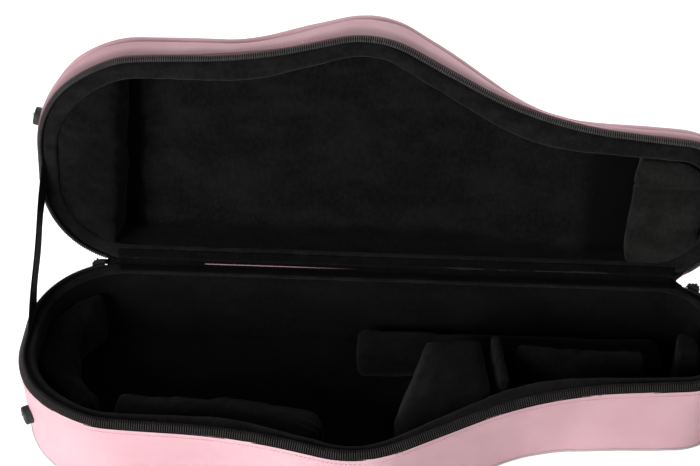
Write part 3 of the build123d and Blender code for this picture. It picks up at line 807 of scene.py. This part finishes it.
LININGS = {"base": (-FLOOR, PLUSH, 0.0006, 0.06, 41), "lid": (-0.0132, LID_PLUSH, 0.0007, 0.07, 47)}
for side, (top, material, height, length, seed) in LININGS.items():
    rows = lining_rows(top, LINING_INSET[side])
    lining = ring_piece(side + "_hollow_lining", side, rows, pile_relief(height, length, seed))
    dress(lining, material, [side + "_lining"])

# Cushions -------------------------------------------------------------------------------------

def taken(piece):
    """Puts a piece's mesh with its modifiers applied in place of its own."""
    depsgraph = bpy.context.evaluated_depsgraph_get()
    mesh = bpy.data.meshes.new_from_object(piece.evaluated_get(depsgraph))
    piece.modifiers.clear()
    piece.data = mesh
    return piece


def modified(piece, kind, **settings):
    """Applies one modifier."""
    modifier = piece.modifiers.new(kind.lower(), kind)
    for key, value in settings.items():
        setattr(modifier, key, value)
    return taken(piece)


def read_rows(items, name):
    """A vector of each of a mesh's items, as rows."""
    rows = np.empty(len(items) * 3, np.float32)
    items.foreach_get(name, rows)
    return rows.reshape(-1, 3).astype(float)


def points_of(piece):
    """The piece's points, as rows."""
    return read_rows(piece.data.vertices, "co")


def normals_of(piece):
    """The normals at the piece's points, as rows."""
    return read_rows(piece.data.vertex_normals, "vector")


def put(piece, points):
    """Moves the piece's points."""
    piece.data.vertices.foreach_set("co", np.asarray(points, np.float32).ravel())
    piece.data.update()


def closed_frame(points):
    """Points of the open lid where they lie with the lid closed."""
    return about_hinge(points, OPEN_ANGLE)


def from_wall(points, side):
    """How far points lie inside the lining's walls in the plan, and the way inwards there."""
    wall_loop = loop(SHELL, LINING_INSET[side] + 0.0006, COUNTS)
    wall_loop[:, 1] += slack(wall_loop) * 0.7
    ahead = np.roll(wall_loop, -1, axis=0) - np.roll(wall_loop, 1, axis=0)
    ahead /= np.linalg.norm(ahead, axis=1, keepdims=True)
    inward = np.stack([-ahead[:, 1], ahead[:, 0]], axis=1)
    away = points[:, None, :2] - wall_loop[None]
    nearest = np.argmin(np.sum(away ** 2, axis=-1), axis=1)
    return np.sum((points[:, :2] - wall_loop[nearest]) * inward[nearest], axis=1), inward[nearest]


def kept_inside(points, side):
    """Points moved back inside the lining's walls, in the plan."""
    inside, inward = from_wall(points, side)
    held = points.copy()
    held[:, :2] += inward * np.clip(-inside, 0, None)[:, None]
    return held


def over_lip(points, reach, back_from):
    """The top of a pad in the lid: it stands level with the lip and laps over it by a reach, from a
    place across the case to the hinge."""
    inside, inward = from_wall(points, "lid")
    top = eased(LID_RIM - points[:, 2], -0.014, -0.003) * eased(points[:, 1], back_from, back_from + 0.025)
    lapped = points.copy()
    lapped[:, :2] -= inward * (reach * top * (1 - eased(inside, 0.0, 2.3 * reach)))[:, None]
    lapped[:, 2] -= 0.0052 * top
    return lapped


DRAWN_IN = 0.0018
CLOTH_FRAMES = 20
FILL_PRESSURE = 4.0
FILL_CAP = 0.0055


def cushion_core(node, voxel):
    """A cushion before it is filled: its CAD block merged, remeshed, smoothed and drawn in."""
    piece = bpy.data.objects.new(node + "_plush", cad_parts[node].data.copy())
    bpy.context.scene.collection.objects.link(piece)
    piece.data.materials.clear()
    weld(piece)
    modified(piece, "REMESH", mode="VOXEL", voxel_size=voxel, use_smooth_shade=True)
    modified(piece, "SMOOTH", factor=0.5, iterations=2)
    put(piece, points_of(piece) - normals_of(piece) * DRAWN_IN)
    return piece


def filled(pieces):
    """Fills cushions by a cloth simulation with pressure and no gravity. No point moves over the cap."""
    before = [points_of(piece) for piece in pieces]
    for piece in pieces:
        cloth = piece.modifiers.new("cloth", "CLOTH")
        cloth.settings.quality = 5
        cloth.settings.mass = 0.3
        cloth.settings.use_pressure = True
        cloth.settings.uniform_pressure_force = FILL_PRESSURE
        cloth.settings.effector_weights.gravity = 0
        cloth.point_cache.frame_start = 1
        cloth.point_cache.frame_end = CLOTH_FRAMES
    for step in range(CLOTH_FRAMES):
        bpy.context.scene.frame_set(step + 1)
    for piece in pieces:
        taken(piece)
    bpy.context.scene.frame_set(1)
    for piece, start in zip(pieces, before):
        moved = points_of(piece) - start
        length = np.linalg.norm(moved, axis=1, keepdims=True)
        put(piece, start + moved * np.minimum(1, FILL_CAP / np.maximum(length, 1e-9)))


def creases(points, along, length, seed):
    """Narrow folds from 0 to 1, that run across a direction and fade in and out."""
    scale = 0.25 + 0.75 * np.abs(np.asarray(along, float))
    ridge = np.clip(1 - np.abs(waves(points * scale, length, seed, 2)) * 5.0, 0, 1)
    return ridge * np.clip(0.55 + waves(points, length * 2.2, seed + 5, 1), 0, 1)


def pleats(points, at, across, pitch, reach):
    """Gathers from -1 to 1 that run away from a place and fade over a reach."""
    away = points - np.asarray(at)
    side = away @ np.asarray(across)
    wander = waves(points, 0.03, 91, 1) * 0.8
    return np.cos(side * 2 * math.pi / pitch + wander) * np.exp(-(np.linalg.norm(away, axis=1) / reach) ** 2)


def relieved(piece, side, relief, lapped=None):
    """Subdivides a filled cushion, gives it folds and pile, and keeps it inside its hollow."""
    modified(piece, "SUBSURF", levels=1, render_levels=1)
    points, normals = points_of(piece), normals_of(piece)
    points = points + normals * relief(points)[:, None]
    if side == "lid":
        points = kept_inside(closed_frame(points), side)
        points = opened(over_lip(points, *lapped))
    else:
        points = kept_inside(points, side)
        points[:, 2] = np.maximum(points[:, 2], FLOOR)
    put(piece, points)
    piece.data.polygons.foreach_set("use_smooth", np.full(len(piece.data.polygons), True))


def plump(height, length, seed, octaves=3, folds=None, gathers=None):
    """Uneven stuffing, with folds of (depth, direction, length, seed), and with gathers at a sewn
    end of (height, place, direction, pitch, reach)."""
    def relief(points):
        total = height * waves(points, length, seed, octaves)
        if folds:
            total = total - folds[0] * creases(points, *folds[1:])
        if gathers:
            total = total + gathers[0] * pleats(points, *gathers[1:])
        return total
    return relief


def lid_pad_seam(points):
    """The pad in the lid's neck end: one sewn channel across it and soft swells."""
    across = closed_frame(points)[:, 1]
    channel = np.exp(-((across - (0.5 - 0.398) * WIDTH) / 0.0022) ** 2)
    return 0.0007 * waves(points, 0.04, 77, 3) - 0.0024 * channel


# The bow cushion folds across its bend and the bolster dents along its top. Both are gathered at
# one end. The divider folds across its rounded top.
BOW_RELIEF = plump(
    0.0009, 0.034, 63, 3, (0.0022, (0.15, 1.0, 0.1), 0.030, 61),
    (0.0013, (-0.280, -0.056, 0.075), (0.75, 0.66, 0.0), 0.0072, 0.030),
)
BOLSTER_RELIEF = plump(
    0.0009, 0.045, 69, 3, (0.0013, (1.0, 0.2, 0.1), 0.046, 67),
    (0.0015, (-0.042, -0.083, 0.070), (0.30, 0.95, 0.0), 0.0078, 0.034),
)
CUSHIONS = {
    "bow_cushion": ("base", BOW_RELIEF, 0.8),
    "front_bolster": ("base", BOLSTER_RELIEF, 0.8),
    "bell_block": ("base", plump(0.0008, 0.035, 79), 0.9),
    "divider_pad": ("base", plump(0.0006, 0.025, 75, 2, (0.0013, (0.1, 1.0, 0.1), 0.022, 73)), 0.8),
    "neck_rail": ("base", plump(0.0006, 0.030, 81), 0.9),
    "neck_bed": ("base", plump(0.0008, 0.030, 83), 0.7),
    "body_bed": ("base", plump(0.0008, 0.045, 85), 0.7),
    "end_block": ("base", plump(0.0006, 0.030, 87), 0.9),
    "lid_end_pad": ("lid", plump(0.0011, 0.040, 89), 0.7),
    "lid_neck_pad": ("lid", lid_pad_seam, 0.9),
}
PAD_FINISHES = {"lid_neck_pad": NECK_PLUSH_PAINTED_SHEEN, "lid_end_pad": END_PLUSH}
LAPS = {"lid_neck_pad": (0.0095, 0.075), "lid_end_pad": (0.0062, -WIDTH)}
THIN = ("divider_pad", "neck_rail")
cores = {node: cushion_core(node, 0.0035 if node in THIN else 0.0045) for node in CUSHIONS}
filled(list(cores.values()))
for node, (side, relief, fill) in CUSHIONS.items():
    relieved(cores[node], side, relief, LAPS.get(node))
    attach(cores[node], side)
    dress(cores[node], PAD_FINISHES.get(node, PAD_PLUSH), [node])

# What crosses the hinge -----------------------------------------------------------------------

def smooth_path(points, count):
    """A smooth curve through a few points: a cubic Catmull-Rom run, evenly spaced."""
    points = np.asarray(points, float)
    ends = np.concatenate([[2 * points[0] - points[1]], points, [2 * points[-1] - points[-2]]])
    t = np.linspace(0, 1, 24, endpoint=False)[:, None]
    runs = []
    for a, b, c, d in zip(ends[:-3], ends[1:-2], ends[2:-1], ends[3:]):
        bend, twist = 2 * a - 5 * b + 4 * c - d, 3 * b - a - 3 * c + d
        runs.append(0.5 * (2 * b + (c - a) * t + bend * t ** 2 + twist * t ** 3))
    fine = np.concatenate(runs + [points[-1:]])
    at = lengths(fine)
    even = np.linspace(0, at[-1], count)
    return np.stack([np.interp(even, at, fine[:, k]) for k in range(fine.shape[1])], axis=1)


def thick_sheet(name, grid, thickness):
    """A thin closed piece from an open grid: two sides a thickness apart and four edges."""
    lift = grid_normals(grid, closed=False) * thickness / 2
    index, quads = grid_faces(grid)
    rim = np.concatenate([index[0, :-1], index[:-1, -1], index[-1, :0:-1], index[:0:-1, 0]])
    follow = np.roll(rim, -1)
    back = index.size
    edges = np.stack([follow, rim, rim + back, follow + back], axis=1)
    uv = np.stack(np.meshgrid(lengths(grid.swapaxes(0, 1)), lengths(grid)), axis=-1).reshape(-1, 2)
    points = np.concatenate([grid + lift, grid - lift]).reshape(-1, 3)
    faces = np.concatenate([quads, quads[:, ::-1] + back, edges])
    piece = make_piece(name, points, faces, np.concatenate([uv, uv]))
    reworked(piece, lambda work: bmesh.ops.recalc_face_normals(work, faces=work.faces))
    return piece


LEAST_WIDTH = 0.0105


def flat_size(grid):
    """Width and length of a sheet along its longest row and column, and its area. A sheet cut to a
    leaf counts as the narrower one that its area fills by half."""
    run = np.linalg.norm(np.diff(grid, axis=1), axis=2).sum(axis=1).max()
    rise = np.linalg.norm(np.diff(grid, axis=0), axis=2).sum(axis=0).max()
    one = np.cross(grid[1:, :-1] - grid[:-1, :-1], grid[1:, 1:] - grid[:-1, :-1])
    two = np.cross(grid[1:, 1:] - grid[:-1, :-1], grid[:-1, 1:] - grid[:-1, :-1])
    area = (np.linalg.norm(one, axis=-1).sum() + np.linalg.norm(two, axis=-1).sum()) / 2
    run = max(min(run, 2 * area / rise), LEAST_WIDTH)
    return float(run), float(rise), float(min(area, run * rise))


def at_lid(y, depth):
    """A point of the lid, given across and in depth from its rim, as (y, z) with the lid open."""
    place = opened(np.array([0.0, y, LID_RIM + depth]))
    return place[1], place[2]


def along_hinge(path, x_low, x_high, columns, slack, seed):
    """A grid of a path of (y, z) repeated along X, with slack that fades at its long edges."""
    xs = np.linspace(x_low, x_high, columns)
    rows = np.stack([np.column_stack([xs, np.full(columns, y), np.full(columns, z)]) for y, z in path])
    fade = np.sin(np.linspace(0, math.pi, len(path)))[:, None]
    lift = waves(rows * np.array([1.0, 0.3, 0.3]), 0.09, seed, 2) * slack * fade
    return rows + grid_normals(rows, closed=False) * lift[..., None]


def cross(name, grid, thickness, material, node):
    """A sheet shaped across the hinge, dressed."""
    piece = dress(thick_sheet(name, grid, thickness), material, [node])
    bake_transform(piece)
    run, rise, area = flat_size(grid)


BACK = [
    (0.1375, 0.0930), (0.1376, 0.1000), (0.1374, 0.1046), (0.1385, 0.1049), (0.1420, 0.1038),
    (0.1485, 0.1019),
]
VALLEY = [
    at_lid(0.1180, -0.0062), at_lid(0.1262, -0.0058), at_lid(0.1308, -0.0022), (0.1360, 0.1086),
    (0.1318, 0.1062), (0.1270, 0.1074), (0.1210, 0.1079),
]
BINDING_PLACE = (0.1350, 0.1074)
BINDING_RUN = (-0.196 - HINGE_LEFT, -0.020 - HINGE_LEFT)
back_grid = along_hinge(smooth_path(BACK, 18), HINGE_LEFT, HINGE_RIGHT, 110, 0.0004, 101)
cross("hinge_back_cloth", back_grid, 0.0011, PINK, "hinge_fabric")

valley_path = smooth_path(VALLEY, 26)
valley_grid = along_hinge(valley_path, HINGE_LEFT, HINGE_RIGHT, 130, 0.0008, 103)
nearest = np.argmin(np.linalg.norm(valley_path - np.array(BINDING_PLACE), axis=1))
binding = (float(lengths(valley_path)[nearest]), *BINDING_RUN)
# A darker copy of the black plush, as painted shade deep in the hinge valley.
VALLEY_PLUSH_PAINTED_SHADE = plush("hinge_plush", (0.0006, 0.0006, 0.0006), (0.0040, 0.0038, 0.0038), 60.0, 0.02, (), binding)
cross(
    "hinge_inner_cloth", valley_grid, 0.0009, VALLEY_PLUSH_PAINTED_SHADE, "hinge_lining",
)


def closed_web(name, node, x_root, x_free, bulge):
    """The closed end of the zip: a web between the two rims. Its free edge bows outwards, or
    inwards with a bulge under 0, and it is lapped under both tapes."""
    columns = np.linspace(0, 1, 10)
    straight = x_root + (x_free - x_root) * columns
    edge = hinge_side(straight)
    grid = [np.column_stack([straight, edge - 0.0018, np.full(10, BASE_HEIGHT + 0.0009)])]
    for up in np.linspace(-1, 1, 13):
        xs = straight + np.sign(x_free - x_root) * bulge * (1 - up * up) * columns
        low = hinge_side(xs)
        share = (up + 1) / 2
        lid_y, lid_z = np.array([at_lid(y + 0.0022, -0.0025) for y in low]).T
        y = (low + 0.0014) * (1 - share) + lid_y * share
        z = (BASE_HEIGHT + 0.0012) * (1 - share) + lid_z * share
        grid.append(np.column_stack([xs, y, z]))
    grid.append(np.column_stack([straight, *np.array([at_lid(y - 0.0018, -0.0030) for y in edge]).T]))
    cross(name, np.array(grid), 0.0010, TAPE, node)


def hinge_side(xs):
    """Where the hinge side of the rim lies at places along the case, a little inwards."""
    ring = loop(RIM, 0.0016, COUNTS)
    back = ring[ring[:, 1] > 0.03]
    order = np.argsort(back[:, 0])
    return np.interp(xs, back[order, 0], back[order, 1])


closed_web("zip_end_web_left", "zip_tail_left", HINGE_LEFT + 0.002, HINGE_LEFT - 0.0125, 0.010)
closed_web("zip_end_web_right", "zip_tail_right", HINGE_RIGHT - 0.006, HINGE_RIGHT + 0.0095, -0.006)

# The stay strap: 42 mm webbing from one zip tape to the other, a little slack
STRAP_LOW = np.array([-0.3684, (0.5 - 0.376) * WIDTH, BASE_HEIGHT + 0.0050])
STRAP_HALF = 0.021


def strap_grid():
    """The webbing's surface: rows from base to lid, columns across its width, bowed outwards."""
    rows = []
    for share in np.linspace(0, 1, 60):
        row = []
        for across in np.linspace(-STRAP_HALF, STRAP_HALF, 13):
            low = STRAP_LOW + np.array([0, across, 0])
            lid_y, lid_z = at_lid(low[1], -0.0050)
            point = low * (1 - share) + np.array([low[0], lid_y, lid_z]) * share
            bow = 0.0014 * math.sin(math.pi * share) + 0.0007 * math.sin(3 * math.pi * share)
            cup = 0.0007 * (1 - (across / STRAP_HALF) ** 2)
            row.append(point - np.array([bow + cup, 0, 0]))
        rows.append(row)
    return np.array(rows)


webbing_grid = strap_grid()
strap_up = webbing_grid[-1].mean(axis=0) - STRAP_LOW
strap_up = tuple(strap_up / np.linalg.norm(strap_up))
webbing = dress(thick_sheet("stay_strap_webbing", webbing_grid, 0.0015), STRAP, ["stay_strap"])
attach(webbing, "base")
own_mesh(webbing)
run, rise, area = flat_size(webbing_grid)

# Finishes of the CAD nodes that stay ----------------------------------------------------------

KEPT = {
    "base_end_foot": RUBBER, "lid_end_foot": RUBBER, "base_foot_rivet": RIVET, "lid_foot_rivet": RIVET,
    "zip_slider_left": BLACK_METAL, "zip_slider_right": BLACK_METAL,
    "zip_pull_left": BLACK_METAL, "zip_pull_right": BLACK_METAL,
}
for node, material in KEPT.items():
    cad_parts[node].data.materials.clear()
    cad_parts[node].data.materials.append(material)

# Floor, lamps and camera ----------------------------------------------------------------------

CAMERA_EYE = (0.0414, -1.2481, 1.3944)
CAMERA_LOOK = (-0.03827, 0.76563, -0.64213)
CAMERA_LENS = 87.487
CAMERA_SHIFT = (-0.0068, -0.0734)
FLOOR_GLOW = 0.72
SKY_LIGHT = 0.16


def place_camera():
    """The camera at the photograph's viewing angle."""
    look = Vector(CAMERA_LOOK).normalized()
    right = look.cross(Vector((0, 0, 1))).normalized()
    up = right.cross(look)
    camera = bpy.data.objects.new("camera", bpy.data.cameras.new("camera"))
    turn = Matrix((right, up, -look)).transposed()
    camera.matrix_world = Matrix.Translation(CAMERA_EYE) @ turn.to_4x4()
    camera.data.lens = CAMERA_LENS
    camera.data.sensor_width = 36.0
    camera.data.shift_x, camera.data.shift_y = CAMERA_SHIFT
    camera.data.clip_end = 20.0
    bpy.context.scene.collection.objects.link(camera)
    bpy.context.scene.camera = camera


def place_lamp(name, spot, aim, size, power):
    """A square soft lamp that faces a point."""
    lamp = bpy.data.objects.new(name, bpy.data.lights.new(name, "AREA"))
    lamp.data.shape = "SQUARE"
    lamp.data.size = size
    lamp.data.energy = power
    lamp.location = spot
    lamp.rotation_euler = (Vector(aim) - Vector(spot)).to_track_quat("-Z", "Y").to_euler()
    bpy.context.scene.collection.objects.link(lamp)


def place_floor():
    """A plain pale floor that the camera sees as white where no shadow lies on it."""
    size = 6.0
    points = np.array([(-size, -size, 0), (size, -size, 0), (size, size, 0), (-size, size, 0)], float)
    floor = make_piece("floor", points - np.array([0, 0, 0.0002]), np.array([[0, 1, 2, 3]]), smooth=False)
    finish = Finish("pale_floor", (0.86, 0.86, 0.86), 0.9)
    rays = ("Is Camera Ray", "Is Glossy Ray", "Is Transmission Ray")
    seen, glossy, through = [finish.node("ShaderNodeLightPath", {}, {}, ray) for ray in rays]
    finish.set("Emission Color", (1, 1, 1, 1))
    finish.set("Emission Strength", (seen + glossy + through).held() * FLOOR_GLOW)
    floor.data.materials.append(finish.material)


def place_world():
    """White for the camera and for reflections, and a plain soft grey for the light."""
    world = bpy.data.worlds.new("studio")
    bpy.context.scene.world = world
    world.use_nodes = True
    tree = world.node_tree
    background = tree.nodes["Background"]
    path = tree.nodes.new("ShaderNodeLightPath")
    mix = tree.nodes.new("ShaderNodeMix")
    mix.inputs[2].default_value, mix.inputs[3].default_value = SKY_LIGHT, 1.0
    tree.links.new(path.outputs["Is Camera Ray"], mix.inputs[0])
    tree.links.new(mix.outputs[0], background.inputs["Strength"])
    background.inputs["Color"].default_value = (1, 1, 1, 1)


place_camera()
place_lamp("key", (-1.35, -1.65, 0.8), (-0.05, 0, 0.1), 1.1, 47)
place_lamp("fill", (2.4, -2.0, 0.9), (0, 0.05, 0.1), 1.3, 7)
place_lamp("back", (0.3, 1.9, 1.7), (0, 0.1, 0.2), 1.2, 30)
place_floor()
place_world()
bpy.context.scene.view_settings.view_transform = "Standard"
